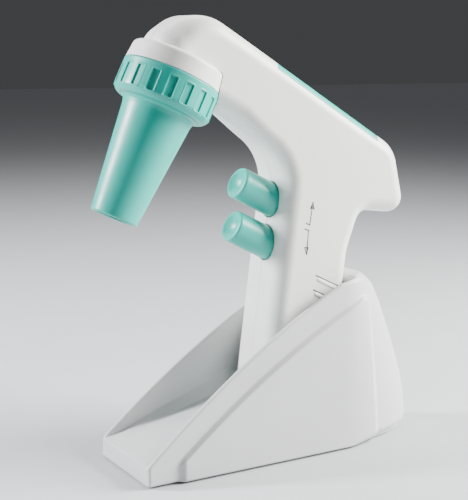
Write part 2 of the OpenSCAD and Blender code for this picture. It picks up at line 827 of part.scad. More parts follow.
module stand_feet() {
    color(rubber_black) for (p = foot_spots) translate([p[0], p[1], 0])
        cylinder(r = 5, h = foot_gap + 0.6);
}

module stand_screws() {
    color(steel) for (p = stand_screw_spots) translate([p[0], p[1], foot_gap]) difference() {
        union() {
            cylinder(r = screw_head_r, h = 1.2);
            cylinder(r = screw_r, h = 7);
        }
        cube([3, 0.6, 1.2], center = true);
        cube([0.6, 3, 1.2], center = true);
    }
}

// Soft cup that holds the foot of the handle
socket_gap = 0.6;
socket_h = 16;
module stand_socket() {
    color([0.8, 0.81, 0.8]) in_handle() difference() {
        translate([-well_half_w + 0.05, -foot_depth / 2 - well_gap + 0.05, -1.95])
            cube([2 * well_half_w - 0.1, foot_depth + 2 * well_gap - 0.1, socket_h]);
        translate([-half_w - socket_gap, -foot_depth / 2 - socket_gap, -0.3])
            cube([2 * (half_w + socket_gap), foot_depth + 2 * socket_gap, 40]);
    }
}

stand_shell();
stand_base();
stand_socket();
stand_feet();
stand_screws();
housing_left();
housing_right();
battery_cover();
cover_pin();
housing_screws();
nose_collar();
ring_nut();
nose_cone();
cone_seal();
pipette_adapter();
membrane_filter();
nose_port();
aspirate_trigger();
dispense_trigger();
aspirate_plunger();
dispense_plunger();
aspirate_spring();
dispense_spring();
valve_block();
trigger_switches();
pump_motor();
motor_rotor();
pump_head();
pump_rod();
pump_diaphragm();
motor_cradle();
nose_hose();
pump_hoses();
battery_cell();
battery_tray();
circuit_board();
charge_jack();
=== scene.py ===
import math

import bpy
import numpy as np
from mathutils import Matrix, Vector


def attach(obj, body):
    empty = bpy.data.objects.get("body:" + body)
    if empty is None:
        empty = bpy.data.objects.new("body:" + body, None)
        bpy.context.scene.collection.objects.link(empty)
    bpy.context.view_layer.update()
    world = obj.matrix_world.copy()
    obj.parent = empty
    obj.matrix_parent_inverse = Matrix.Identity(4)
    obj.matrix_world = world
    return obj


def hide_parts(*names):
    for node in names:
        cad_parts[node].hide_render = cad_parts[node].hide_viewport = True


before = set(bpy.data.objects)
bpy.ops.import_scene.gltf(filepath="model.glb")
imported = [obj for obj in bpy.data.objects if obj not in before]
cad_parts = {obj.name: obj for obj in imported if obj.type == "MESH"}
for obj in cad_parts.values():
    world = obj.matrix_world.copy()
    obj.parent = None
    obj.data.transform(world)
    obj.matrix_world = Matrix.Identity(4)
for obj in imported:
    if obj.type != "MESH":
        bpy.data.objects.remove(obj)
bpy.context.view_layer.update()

MM = 0.001
HALF_W = 15.0
NOSE = (-51.2, 167.5)
NOSE_TILT = math.radians(25.6)
LEAN = math.radians(6.8)
SLOPE = math.radians(30.9)
TRIGGER_TILT = math.radians(26.5)


# ---------------------------------------------------------------- outlines
def unit(v):
    return v / np.linalg.norm(v)


def left(v):
    return np.array([-v[1], v[0]])


class Outline:
    """A closed outline with rounded corners, and a table of signed distances to it."""

    def __init__(self, corners, step=0.2, margin=9.0):
        lines, arcs, poly = [], [], []
        n = len(corners)
        pts = [np.array(c[:2], float) for c in corners]
        ends = []
        for i, c in enumerate(corners):
            b, u, v = pts[i], unit(pts[i] - pts[i - 1]), unit(pts[(i + 1) % n] - pts[i])
            turn = math.atan2(u[0] * v[1] - u[1] * v[0], float(u @ v))
            r = c[2] if len(c) > 2 else 0
            t = r * math.tan(abs(turn) / 2)
            start, end = b - u * t, b + v * t
            ends.append((start, end))
            if r > 0 and abs(turn) > 1e-6:
                centre = start + math.copysign(r, turn) * left(u)
                a0 = math.atan2(*(start - centre)[::-1])
                arcs.append((centre, r, a0, turn))
                steps = max(3, int(abs(turn) / 0.03))
                for k in range(steps + 1):
                    a = a0 + turn * k / steps
                    poly.append(centre + r * np.array([math.cos(a), math.sin(a)]))
            else:
                poly.append(b)
        for i in range(n):
            lines.append((ends[i - 1][1], ends[i][0]))
        poly = np.array(poly)
        lo, hi = poly.min(0) - margin, poly.max(0) + margin
        self.lo, self.step = lo, step
        self.shape = np.ceil((hi - lo) / step).astype(int) + 2
        a = lo[0] + step * np.arange(self.shape[0])
        b = lo[1] + step * np.arange(self.shape[1])
        p, q = np.meshgrid(a, b, indexing="ij")
        best = np.full(p.shape, 1e9)
        for s, e in lines:
            d = e - s
            t = np.clip(((p - s[0]) * d[0] + (q - s[1]) * d[1]) / max(d @ d, 1e-12), 0, 1)
            best = np.minimum(best, np.hypot(p - s[0] - t * d[0], q - s[1] - t * d[1]))
        for c, r, a0, turn in arcs:
            ang = np.arctan2(q - c[1], p - c[0]) - a0
            ang = ang * np.sign(turn) % (2 * math.pi)
            near = np.abs(np.hypot(p - c[0], q - c[1]) - r)
            best = np.where(ang <= abs(turn), np.minimum(best, near), best)
        inside = np.zeros(p.shape, bool)
        for s, e in zip(poly, np.roll(poly, -1, 0)):
            if s[0] == e[0]:
                continue
            spans = (s[0] > a) != (e[0] > a)
            cross = s[1] + (a - s[0]) * (e[1] - s[1]) / (e[0] - s[0])
            inside ^= spans[:, None] & (q < cross[:, None])
        self.values = np.where(inside, -best, best)

    def __call__(self, p, q):
        u = np.clip((p - self.lo[0]) / self.step, 0, self.shape[0] - 1.001)
        v = np.clip((q - self.lo[1]) / self.step, 0, self.shape[1] - 1.001)
        u, v = np.broadcast_arrays(u, v)
        i, j = u.astype(int), v.astype(int)
        f, g = u - i, v - j
        t = self.values
        return ((t[i, j] * (1 - g) + t[i, j + 1] * g) * (1 - f)
                + (t[i + 1, j] * (1 - g) + t[i + 1, j + 1] * g) * f)


# ---------------------------------------------------------------- solid shapes
def both(a, b, r=0.0):
    """Inside both a and b, with the edge between them rounded to r."""
    if np.ndim(r) == 0 and r <= 0:
        return np.maximum(a, b)
    return np.minimum(np.maximum(a, b), -r) + np.hypot(np.maximum(a + r, 0), np.maximum(b + r, 0))


def either(a, b, r=0.0):
    return -both(-a, -b, r)


def without(a, b, r=0.0):
    return both(a, -b, r)


def ramp(x, a, b):
    t = np.clip((x - a) / (b - a), 0, 1)
    return t * t * (3 - 2 * t)


def grid_line(lo, hi, step, fine=()):
    pts = np.arange(lo, hi + step, step)
    graded = np.array([-1.1, -0.7, -0.4, -0.2, -0.07, 0.07, 0.2, 0.4, 0.7, 1.1])
    for f in fine:
        pts = pts[np.abs(pts - f) > 1.3]
        pts = np.concatenate([pts, f + graded])
    pts = np.unique(np.round(pts, 4))
    keep = np.concatenate([[True], np.diff(pts) > 0.04])
    return pts[keep]


def surface(shape, xs, ys, zs):
    """Vertices, quads and normals of the surface where shape(x, y, z) is zero."""
    f = shape(xs[:, None, None], ys[None, :, None], zs[None, None, :])
    f = np.ascontiguousarray(np.broadcast_to(f, (len(xs), len(ys), len(zs))), np.float32)
    s = f < 0
    n = s[:-1, :-1, :-1].astype(np.int8)
    total = sum(s[a:a + n.shape[0], b:b + n.shape[1], c:c + n.shape[2]].astype(np.int8)
                for a in (0, 1) for b in (0, 1) for c in (0, 1))
    cell = np.argwhere((total > 0) & (total < 8))
    index = np.full(n.shape, -1, np.int64)
    index[tuple(cell.T)] = np.arange(len(cell))
    axes = (xs, ys, zs)
    corner = [(a, b, c) for a in (0, 1) for b in (0, 1) for c in (0, 1)]
    value = {k: f[cell[:, 0] + k[0], cell[:, 1] + k[1], cell[:, 2] + k[2]] for k in corner}
    place, count = np.zeros((len(cell), 3)), np.zeros(len(cell))
    for k in corner:
        for ax in range(3):
            if k[ax]:
                continue
            m = list(k)
            m[ax] = 1
            a, b = value[k], value[tuple(m)]
            hit = (a < 0) != (b < 0)
            t = np.where(hit, a / np.where(hit, a - b, 1), 0)
            for d in range(3):
                lo = axes[d][cell[:, d] + k[d]]
                at = lo if d != ax else lo + t * (axes[d][cell[:, d] + 1] - axes[d][cell[:, d]])
                place[:, d] += np.where(hit, at, 0)
            count += hit
    place /= count[:, None]
    faces = []
    for ax in range(3):
        o1, o2 = (ax + 1) % 3, (ax + 2) % 3
        lo, hi = [slice(1, -1)] * 3, [slice(1, -1)] * 3
        lo[ax], hi[ax] = slice(0, -1), slice(1, None)
        a, b = s[tuple(lo)], s[tuple(hi)]
        at = np.argwhere(a != b)
        sign = a[tuple(at.T)]
        base = at + 1
        base[:, ax] -= 1
        quad = []
        for d1, d2 in ((-1, -1), (0, -1), (0, 0), (-1, 0)):
            c = base.copy()
            c[:, o1] += d1
            c[:, o2] += d2
            quad.append(index[tuple(c.T)])
        quad = np.stack(quad, 1)
        faces.append(np.where(sign[:, None], quad, quad[:, ::-1]))
    faces = np.concatenate(faces)

    def slope(p, e=0.12):
        g = np.zeros_like(p)
        for d in range(3):
            q = p.copy()
            q[:, d] += e
            hi = shape(*q.T)
            q[:, d] -= 2 * e
            g[:, d] = (hi - shape(*q.T)) / (2 * e)
        return g

    for _ in range(2):
        g = slope(place, 0.05)
        move = shape(*place.T)[:, None] * g / np.maximum((g * g).sum(1), 0.25)[:, None]
        size = np.linalg.norm(move, axis=1, keepdims=True)
        place -= move * np.minimum(1, 0.3 / np.maximum(size, 1e-9))
    g = slope(place)
    g /= np.maximum(np.linalg.norm(g, axis=1), 1e-9)[:, None]
    return place, faces, g


def make(name, place, faces, normals=None):
    me = bpy.data.meshes.new(name)
    me.from_pydata((np.asarray(place) * MM).tolist(), [],
                   faces.tolist() if hasattr(faces, "tolist") else faces)
    me.polygons.foreach_set("use_smooth", [True] * len(me.polygons))
    if normals is not None:
        me.normals_split_custom_set_from_vertices(normals.tolist())
    o = bpy.data.objects.new(name, me)
    bpy.context.scene.collection.objects.link(o)
    return o


def fit(o, body, slot, material, *nodes):
    o.data.materials.clear()
    o.data.materials.append(material)
    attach(o, body)
    if nodes:
        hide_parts(*nodes)
    return o


# ---------------------------------------------------------------- frames, side view (y, z)
ARM_ALONG = (math.cos(SLOPE), -math.sin(SLOPE))
ARM_UP = (math.sin(SLOPE), math.cos(SLOPE))
HEAD_TOP = (-43.6, 195.8)
COVER_FRONT = (HEAD_TOP[0] + 43.5 * ARM_ALONG[0], HEAD_TOP[1] + 43.5 * ARM_ALONG[1])
TAIL_TOP = (HEAD_TOP[0] + 117.8 * ARM_ALONG[0], HEAD_TOP[1] + 117.8 * ARM_ALONG[1])
FOOT_FRONT = (-15.1, 12.5)
FOOT_BACK = (FOOT_FRONT[0] + 37.3 * math.cos(LEAN), FOOT_FRONT[1] - 37.3 * math.sin(LEAN))
FOOT = ((FOOT_FRONT[0] + FOOT_BACK[0]) / 2, (FOOT_FRONT[1] + FOOT_BACK[1]) / 2)


def nose_point(across, along):
    c, s = math.cos(NOSE_TILT), math.sin(NOSE_TILT)
    return NOSE[0] + across * c + along * s, NOSE[1] - across * s + along * c


def to_nose(y, z):
    c, s = math.cos(NOSE_TILT), math.sin(NOSE_TILT)
    return (y - NOSE[0]) * c - (z - NOSE[1]) * s, (y - NOSE[0]) * s + (z - NOSE[1]) * c


def from_arm(a, b):
    return (COVER_FRONT[0] + a * ARM_ALONG[0] + b * ARM_UP[0],
            COVER_FRONT[1] + a * ARM_ALONG[1] + b * ARM_UP[1])


def to_handle(y, z):
    p, q = y - FOOT[0], z - FOOT[1]
    return p * math.cos(LEAN) - q * math.sin(LEAN), p * math.sin(LEAN) + q * math.cos(LEAN)


DISH_UP = (-19.7, 122.0)
PRESS = (math.cos(TRIGGER_TILT), -math.sin(TRIGGER_TILT))
DISH_LOW = (DISH_UP[0] + 6 * PRESS[0] + 18 * PRESS[1],
            DISH_UP[1] + 6 * PRESS[1] - 18 * PRESS[0])


def to_trigger(dish, y, z):
    p, q = y - dish[0], z - dish[1]
    return p * PRESS[1] - q * PRESS[0], p * PRESS[0] + q * PRESS[1]


# ---------------------------------------------------------------- handset shell
BODY = Outline([
    (*FOOT_FRONT, 7), (*FOOT_BACK, 7), (32.4, 89.9, 25), (38.8, 107.1, 6), (65.2, 104, 7),
    (*TAIL_TOP, 16), (*HEAD_TOP, 19.5), (-59.8, 185.6, 11.5),
    nose_point(-14.9, -4), nose_point(22, -4), (-26.2, 151, 12), (-0.6, 131.4, 23)])


def handset(x, y, z):
    """The handset's outer skin, with its long edges rounded."""
    head = np.exp(-((y + 58) ** 2 + (z - 189) ** 2) / 260.0)
    under = np.exp(-((y + 14) ** 2 + (z - 140) ** 2) / 330.0)
    r = 7 + 4.5 * head - 2.0 * under
    a, b = BODY(y, z) + r, np.abs(x) - HALF_W + r
    return np.minimum(np.maximum(a, b), 0) + np.hypot(np.maximum(a, 0), np.maximum(b, 0)) - r


HINGE, SKIN_END, COVER_T, COVER_DROP = 64.4, 62.6, 2.0, 3.2
# Where the grip grooves run: painted shade strokes are drawn along these lines and ribs are set under
# them.
GROOVE_SHADE_LINES = [((12.7, 80.2), (26.5, 73.5)), ((11.5, 73.8), (24.0, 67.7))]
SCREWS = [(-10.3, 18), (28.2, 84), (54, 109.3), (-15, 171.5), (-38, 189)]
TAIL_FOOT = (65.2, 104)
TAIL_RUN = math.hypot(TAIL_TOP[0] - TAIL_FOOT[0], TAIL_TOP[1] - TAIL_FOOT[1])
TAIL = ((TAIL_TOP[0] - TAIL_FOOT[0]) / TAIL_RUN, (TAIL_TOP[1] - TAIL_FOOT[1]) / TAIL_RUN)
JACK = (TAIL_FOOT[0] + TAIL[0] * 17 / TAIL[1], TAIL_FOOT[1] + 17.0)
SHUT = 40


def shell(x, a, b, side):
    """One housing half, in the arm's own frame."""
    y, z = from_arm(a, b)
    skin = handset(x, y, z)
    n, s = to_nose(y, z)
    radial = np.hypot(x, n)
    hollow = both(skin + 2.2, -both(radial - 23, s - 10.6))
    solid = without(skin, hollow)
    solid = without(solid, both(radial - 20.97 + 0.1 * np.clip(s, 0, 9), s - 8.4, 2.0), 0.1)
    solid = without(solid, radial - 12.2 + SHUT * (s > 14))
    lid = both(both(-skin - COVER_T - 0.15, -(b + COVER_DROP + 0.12)),
               both(-(a + 0.12), a - SKIN_END - 0.15))
    solid = without(solid, lid, 0.12)
    tab = both(both(a - HINGE, SKIN_END - 1 - a), -(b + 2.3))
    barrel = both(either(np.hypot(a - HINGE, b + 1.6) - 1.85, tab), np.abs(x) - 9.25)
    solid = without(solid, barrel, 0.1)
    notch = both(both(a - SKIN_END - 0.95, SKIN_END - a), -(b + 1.0))
    solid = without(solid, notch, 0.1)
    hatch = both(both(np.abs(x) - 10.4, -(b + 8)), both(3 - a, a - 59), 0.8)
    solid = without(solid, hatch)
    for dish in (DISH_UP, DISH_LOW):
        across, deep = to_trigger(dish, y, z)
        solid = without(solid, both(np.hypot(x, across) - 7.55, deep - 30), 0.45)
    jy, jz = y - JACK[0], z - JACK[1]
    out, along = jy * TAIL[1] - jz * TAIL[0], jy * TAIL[0] + jz * TAIL[1]
    solid = without(solid, both(np.hypot(x, along) - 4.35, -out - 8), 0.35)
    if side < 0:
        for p, q in SCREWS:
            solid = without(solid, both(np.hypot(y - p, z - q) - 2.55, x + 10.8), 0.3)
    return both(solid, -side * x + 0.04, 0.12)


def arm_mesh(name, place, faces, slope):
    """A mesh from points and normals in the arm's own frame."""
    y, z = from_arm(place[:, 1], place[:, 2])
    gy = slope[:, 1] * ARM_ALONG[0] + slope[:, 2] * ARM_UP[0]
    gz = slope[:, 1] * ARM_ALONG[1] + slope[:, 2] * ARM_UP[1]
    return make(name, np.stack([place[:, 0], y, z], 1), faces, np.stack([slope[:, 0], gy, gz], 1))


step = 0.6
arm_ys = grid_line(-56, 98, step, (-0.12, SKIN_END + 0.15))
arm_zs = grid_line(-150, 8, step, (-COVER_DROP - 0.12,))


def housing(name, side):
    xs = grid_line(-1.4, 16.2, step, (0.04,))
    xs = xs if side > 0 else -xs[::-1]
    return arm_mesh(name, *surface(lambda x, a, b: shell(x, a, b, side), xs, arm_ys, arm_zs))


def lid(x, a, b):
    """The battery cover, in the arm's own frame."""
    y, z = from_arm(a, b)
    skin = handset(x, y, z)
    plate = both(both(skin, -(skin + COVER_T)), -(b + COVER_DROP), 0.3)
    plate = both(plate, both(-a, a - SKIN_END), 0.3)
    tab = both(both(a - HINGE, SKIN_END - 1 - a), -(b + 2))
    barrel = both(both(either(np.hypot(a - HINGE, b + 1.6) - 1.5, tab), np.abs(x) - 9), skin, 0.2)
    catch = np.hypot(np.hypot(np.maximum(np.abs(x) - 5, 0), a - 4.0), b + 0.9) - 1.55
    hook = both(both(np.abs(x) - 5, np.abs(a - 0.9) - 0.7), np.abs(b + 2.4) - 1.2)
    return either(either(either(plate, barrel, 0.3), catch, 0.8), hook)


def cover(name):
    s = 0.45
    xs = grid_line(-16, 16, s)
    ys = grid_line(-2, 69, s, (0.0,))
    zs = grid_line(-6, 2.5, s, (-COVER_DROP,))
    return arm_mesh(name, *surface(lid, xs, ys, zs))


# ---------------------------------------------------------------- turned parts
def softened(points, arc=5):
    """A closed profile of (r, z, fillet) with its corners rounded: points and outward normals."""
    out, n = [], len(points)
    pts = [np.array(p[:2], float) for p in points]
    for i, p in enumerate(points):
        b, u, v = pts[i], unit(pts[i] - pts[i - 1]), unit(pts[(i + 1) % n] - pts[i])
        turn = math.atan2(u[0] * v[1] - u[1] * v[0], float(u @ v))
        room = 0.49 * min(np.linalg.norm(pts[i] - pts[i - 1]), np.linalg.norm(pts[(i + 1) % n] - b))
        r = min(p[2], room / max(math.tan(abs(turn) / 2), 1e-6))
        centre = b - u * r * math.tan(abs(turn) / 2) + math.copysign(r, turn) * left(u)
        for k in range(arc + 1):
            a = turn * k / arc
            c, s = math.cos(a), math.sin(a)
            w = -left(u) * math.copysign(1, turn)
            spoke = np.array([w[0] * c - w[1] * s, w[0] * s + w[1] * c])
            out.append((centre + spoke * r, spoke * math.copysign(1, turn)))
    return out


def spun(name, points, place, turns=128, split=4.0):
    """A part turned about its frame's Z axis. place maps (across, along) in the side view."""
    prof = softened(points)
    rows = []
    for k, (p, m) in enumerate(prof):
        q, m2 = prof[(k + 1) % len(prof)]
        rows.append((p, m))
        extra = int(np.linalg.norm(q - p) / split)
        for e in range(1, extra + 1):
            t = e / (extra + 1)
            mix = m * (1 - t) + m2 * t
            rows.append((p * (1 - t) + q * t, unit(mix)))
    a = np.linspace(0, 2 * math.pi, turns, endpoint=False)
    ca, sa = np.cos(a), np.sin(a)
    verts, norms = [], []
    for p, m in rows:
        verts.append(np.stack([p[0] * ca, p[0] * sa, np.full(turns, p[1])], 1))
        norms.append(np.stack([m[0] * ca, m[0] * sa, np.full(turns, m[1])], 1))
    verts, norms = np.concatenate(verts), np.concatenate(norms)
    k = len(rows)
    i, j = np.meshgrid(np.arange(k), np.arange(turns), indexing="ij")
    i2, j2 = (i + 1) % k, (j + 1) % turns
    faces = np.stack([i * turns + j, i * turns + j2, i2 * turns + j2, i2 * turns + j], -1).reshape(-1, 4)
    place_m = np.array(place)
    return make(name, verts @ place_m[:3, :3].T + place_m[:3, 3], faces, norms @ place_m[:3, :3].T)


def frame_matrix(origin, along):
    """Local Z along the side-view direction, local X across the object."""
    z = Vector((0, along[0], along[1])).normalized()
    x = Vector((1, 0, 0))
    y = z.cross(x)
    m = Matrix.Identity(4)
    for k, v in enumerate((x, y, z, Vector((0, origin[0], origin[1])))):
        m[0][k], m[1][k], m[2][k] = v
    return m


NOSE_FRAME = frame_matrix(NOSE, (math.sin(NOSE_TILT), math.cos(NOSE_TILT)))


SLOTS = 18
SLOT_TURN = 2 * math.pi / SLOTS


def grip_ring(x, y, z):
    r = np.hypot(x, y)
    outer = both(both(r - 21.0, -(z + 14.4), 3.6), z + 0.1, 0.35)
    solid = without(outer, both(r - 18.2, -(z + 12.4)), 0.2)
    solid = without(solid, r - 16.0, 0.2)
    a = np.arctan2(y, x) / SLOT_TURN + 0.2
    off = (a - np.round(a)) * SLOT_TURN * 21
    slot = both(both(np.abs(off) - 1.6, np.abs(z + 7.4) - 4.3, 0.4), 20.4 - r)
    rim = both(np.abs(both(np.abs(off) - 1.85, np.abs(z + 7.4) - 4.55, 0.5)) - 0.25, r - 21.04, 0.1)
    rim = both(rim, 20.5 - r)
    return without(either(solid, rim, 0.25), slot, 0.22)


def ring_mesh(name):
    s = 0.32
    xs = grid_line(-22, 22, s)
    zs = grid_line(-15.2, 0.6, s)
    p, f, g = surface(grip_ring, xs, xs, zs)
    m = np.array(NOSE_FRAME)
    return make(name, p @ m[:3, :3].T + m[:3, 3], f, g @ m[:3, :3].T)


def finger_piece(name, dish):
    dish_r, deep, edge_r = 5.9, 2.7, 1.15
    bowl = [(dish_r * t, deep * (1 - t * t), 0.05) for t in np.linspace(0.004, 0.96, 10)]
    rim = [(dish_r + edge_r * math.sin(a), edge_r * (1 - math.cos(a)), 0.05)
           for a in np.linspace(0.1, math.pi / 2 - 0.05, 8)]
    profile = [(0.02, 28.5, 0), *bowl, *rim, (7.2, 10, 3),
               (7.2, 27, 0.1), (8.4, 27, 0.1), (8.4, 28.5, 0.1)]
    m = frame_matrix(dish, PRESS)
    return spun(name, profile, m, 96)


# ---------------------------------------------------------------- stand
LIP, EDGE, CURVE, DECK = 8.9, 0.89, 0.0021, 0.26
TRAY_END = 400
edge = [(-75 + t, LIP + EDGE * t - CURVE * t * t, 0) for t in np.linspace(98, 0, 40)]
SIDE = Outline([(-75, 0.8, 0), (90, 0.8, 0), (90, 70, 0), (54, 74.6, 9), (37, 79.2, 15), *edge])
PLAN = Outline([(-23.1, -75, 1.6), (23.1, -75, 1.6), *[
    (23.1 * math.cos(a), 25 + 50 * math.sin(a), 0) for a in np.linspace(0, math.pi, 61)]])
REAR_Z = np.array([0, 15, 27, 45, 62, 72.5, 80, 90])
REAR_Y = np.array([75, 73.6, 71.0, 64.6, 57.4, 51.8, 46.5, 39])


def edge_top(y):
    t = np.clip(y + 75, 0, 110)
    return LIP + EDGE * t - CURVE * t * t


def plan(x, y, z):
    rear = np.interp(z, REAR_Z, REAR_Y)
    y2 = np.where(y > 25, 25 + (y - 25) * 50 / (rear - 25), y)
    return PLAN((np.abs(x) + 0.0304 * (z - 0.8)) * np.sign(x + 1e-9), y2)


def stand(x, y, z):
    wall = plan(x, y, z)
    raised = ramp((edge_top(y) - 11.8 - z) * 0.75, -0.3, 1.7) * ramp(45 - 0.075 * z - y, -1.5, 2.5)
    wall = wall - 1.9 * raised * ramp(y, -61.5, -57.5)
    solid = both(both(wall, SIDE(y, z), 1.1 + 4.5 * ramp(y, 26, 44)), 0.8 - z)
    low = LIP + DECK * (y + 75)
    high = LIP + 0.376 * (y + 72) + 0.2
    floor = low + np.clip((np.abs(x) - 15.5) / 4.0, 0, 1.6) * np.maximum(high - low, 0)
    inside = np.abs(x) - (21.1 - 0.0365 * z)
    v, h = to_handle(y, z)
    tray = both(both(inside, floor - z, 0.6), v - 20.4, 2.0)
    tray = both(tray, v + 16.5 - TRAY_END * (z > 25))
    well = both(both(np.abs(x) - 18.05, np.abs(v) - 20.5, 4.0), -2 - h)
    rest = both(both(inside, v - 20.45, 2.5), 31.5 - z, 0.6)
    solid = without(solid, either(either(tray, well), rest), 0.9)
    base = both(plan(x, y, z) + 2.6, z - 3.25)
    return without(solid, base)


def stand_mesh(name):
    s = 0.62
    xs = grid_line(-26.5, 26.5, s)
    ys = grid_line(-76.5, 77, s, (-75,))
    zs = grid_line(0, 83.5, s, (0.8,))
    p, f, g = surface(stand, xs, ys, zs)
    return make(name, p, f, g)


# ---------------------------------------------------------------- printed arrows, grip ribs and painted groove shade
STROKE_W = 0.5


def stroke_mesh(lines, width):
    verts, faces = [], []
    for pts in lines:
        for a, b in zip(pts[:-1], pts[1:]):
            d = unit(np.subtract(b, a)) * width / 2
            k = len(verts)
            for q in (a - left(d) - d, a + left(d) - d, b + left(d) + d, b - left(d) + d):
                for x in (14.9, 15.035):
                    verts.append((x, q[0], q[1]))
            faces += [(k, k + 2, k + 4, k + 6), (k + 1, k + 7, k + 5, k + 3)]
            for e in range(4):
                p, q = k + 2 * e, k + 2 * ((e + 1) % 4)
                faces.append((p, p + 1, q + 1, q))
    return verts, faces


def arrow_marks(name):
    lines = [[np.array(p) for p in line] for line in (
        [(6.9, 104.0), (8.8, 103.2)], [(8.8, 103.2), (10.1, 111.6)],
        [(9.1, 110.3), (10.35, 113.0)], [(10.35, 113.0), (10.9, 110.0)], [(9.4, 110.6), (10.7, 110.4)],
        [(6.4, 101.5), (8.3, 100.8)], [(8.3, 100.8), (7.5, 91.9)],
        [(8.2, 93.1), (7.35, 90.2)], [(7.35, 90.2), (6.4, 93.3)], [(6.8, 93.2), (8.0, 93.0)])]
    verts, faces = stroke_mesh(lines, STROKE_W)
    return make(name, verts, faces)


def grip_ribs(name):
    """Low rounded ribs on the side of the handle, one under each painted groove-shade line."""
    verts, faces, turns = [], [], 12
    for p, q in GROOVE_SHADE_LINES:
        p, q = np.array(p) + (0.3, -1.6), np.array(q) + (0.3, -1.6)
        n = left(unit(q - p))
        for c, r in ((p, 0.1), (p + 0.02 * (q - p), 0.6), (p + 0.07 * (q - p), 0.95),
                     (q, 0.95), (q, 0.1)):
            for t in range(turns):
                a = 2 * math.pi * t / turns
                e = c + n * r * math.cos(a)
                verts.append((14.9 + 0.4 * r * math.sin(a), e[0], e[1]))
        base = len(verts) - 5 * turns
        for k in range(4):
            for t in range(turns):
                u = (t + 1) % turns
                faces.append((base + k * turns + t, base + k * turns + u,
                              base + (k + 1) * turns + u, base + (k + 1) * turns + t))
        faces.append([base + t for t in range(turns)][::-1])
        faces.append([base + 4 * turns + t for t in range(turns)])
    return make(name, verts, faces)


# Painted shade: thin dark strokes along the grip grooves, standing in for the shadow inside each groove.
def painted_groove_shade(name):
    verts, faces = stroke_mesh([[np.array(p), np.array(q)] for p, q in GROOVE_SHADE_LINES], STROKE_W)
    return make(name, verts, faces)


# ---------------------------------------------------------------- materials
def finish_of(name, colour, rough, bump=0.02, grain=900.0, spread=0.03, metal=0.0, coat=0.0,
              soft=0.0, mottle=0.04, wear=0.06, stretch=(1, 1, 1)):
    """A moulded or turned finish: cloudy colour, fine grain, and roughness that varies with handling."""
    m = bpy.data.materials.new(name)
    m.use_nodes = True
    nt = m.node_tree
    bsdf = nt.nodes["Principled BSDF"]
    bsdf.inputs["Metallic"].default_value = metal
    bsdf.inputs["IOR"].default_value = 1.5
    bsdf.inputs["Coat Weight"].default_value = coat
    bsdf.inputs["Coat Roughness"].default_value = 0.12
    if soft:
        bsdf.inputs["Subsurface Weight"].default_value = soft
        bsdf.inputs["Subsurface Radius"].default_value = (0.8, 1.0, 0.9)
        bsdf.inputs["Subsurface Scale"].default_value = 0.002
    link = nt.links.new
    coord = nt.nodes.new("ShaderNodeTexCoord")
    scale = nt.nodes.new("ShaderNodeMapping")
    scale.inputs["Scale"].default_value = stretch
    link(coord.outputs["Object"], scale.inputs["Vector"])
    cloud = nt.nodes.new("ShaderNodeTexNoise")
    cloud.inputs["Scale"].default_value = 34
    cloud.inputs["Detail"].default_value = 5
    fine = nt.nodes.new("ShaderNodeTexNoise")
    fine.inputs["Scale"].default_value = grain
    fine.inputs["Detail"].default_value = 3
    smear = nt.nodes.new("ShaderNodeTexNoise")
    smear.inputs["Scale"].default_value = 120
    smear.inputs["Detail"].default_value = 8
    smear.inputs["Distortion"].default_value = 0.8
    for n in (cloud, fine, smear):
        link(scale.outputs["Vector"], n.inputs["Vector"])
    tint = nt.nodes.new("ShaderNodeValToRGB")
    dark = [c * (1 - mottle) for c in colour]
    tint.color_ramp.elements[0].position = 0.35
    tint.color_ramp.elements[0].color = (*dark, 1)
    tint.color_ramp.elements[1].position = 0.65
    tint.color_ramp.elements[1].color = (*colour, 1)
    link(cloud.outputs["Fac"], tint.inputs["Fac"])
    link(tint.outputs["Color"], bsdf.inputs["Base Color"])
    worn = nt.nodes.new("ShaderNodeMapRange")
    worn.inputs["From Min"].default_value = 0.3
    worn.inputs["From Max"].default_value = 0.75
    worn.inputs["To Min"].default_value = max(0.02, rough - spread)
    worn.inputs["To Max"].default_value = rough + spread + wear
    link(smear.outputs["Fac"], worn.inputs["Value"])
    link(worn.outputs["Result"], bsdf.inputs["Roughness"])
    relief = nt.nodes.new("ShaderNodeBump")
    relief.inputs["Strength"].default_value = bump * 10
    relief.inputs["Distance"].default_value = 0.00006
    link(fine.outputs["Fac"], relief.inputs["Height"])
    link(relief.outputs["Normal"], bsdf.inputs["Normal"])
    return m


WHITE = finish_of("white_plastic", (0.83, 0.83, 0.80), 0.36, soft=0.08, bump=0.03)
STAND_WHITE = finish_of("stand_plastic", (0.60, 0.61, 0.61), 0.42, soft=0.05, bump=0.05, grain=700)
TEAL = finish_of("teal_plastic", (0.014, 0.46, 0.38), 0.36, coat=0.04, soft=0.15, bump=0.02, mottle=0.06)
BLACK = finish_of("rubber_black", (0.02, 0.02, 0.02), 0.62, bump=0.09, grain=500)
GREY = finish_of("soft_grey", (0.42, 0.43, 0.42), 0.58, bump=0.06)
STEEL = finish_of("steel", (0.62, 0.63, 0.65), 0.24, metal=1.0, bump=0.05, grain=300, stretch=(1, 1, 6))
CAN = finish_of("motor_can", (0.45, 0.46, 0.48), 0.3, metal=1.0, bump=0.05, grain=300, stretch=(1, 1, 9))
BRASS = finish_of("rotor_brass", (0.60, 0.40, 0.18), 0.28, metal=1.0, bump=0.04)
SILICONE = finish_of("silicone_grey", (0.50, 0.51, 0.48), 0.5, soft=0.2, bump=0.05)
HOSE = finish_of("silicone_hose", (0.66, 0.68, 0.64), 0.34, soft=0.3)
FILTER = finish_of("filter_plastic", (0.72, 0.76, 0.82), 0.4, soft=0.1)
DARK = finish_of("dark_plastic", (0.03, 0.03, 0.035), 0.48, bump=0.07)
VALVE = finish_of("valve_plastic", (0.62, 0.63, 0.64), 0.45, bump=0.05)
WRAP = finish_of("battery_wrap", (0.03, 0.12, 0.38), 0.22, coat=0.4)
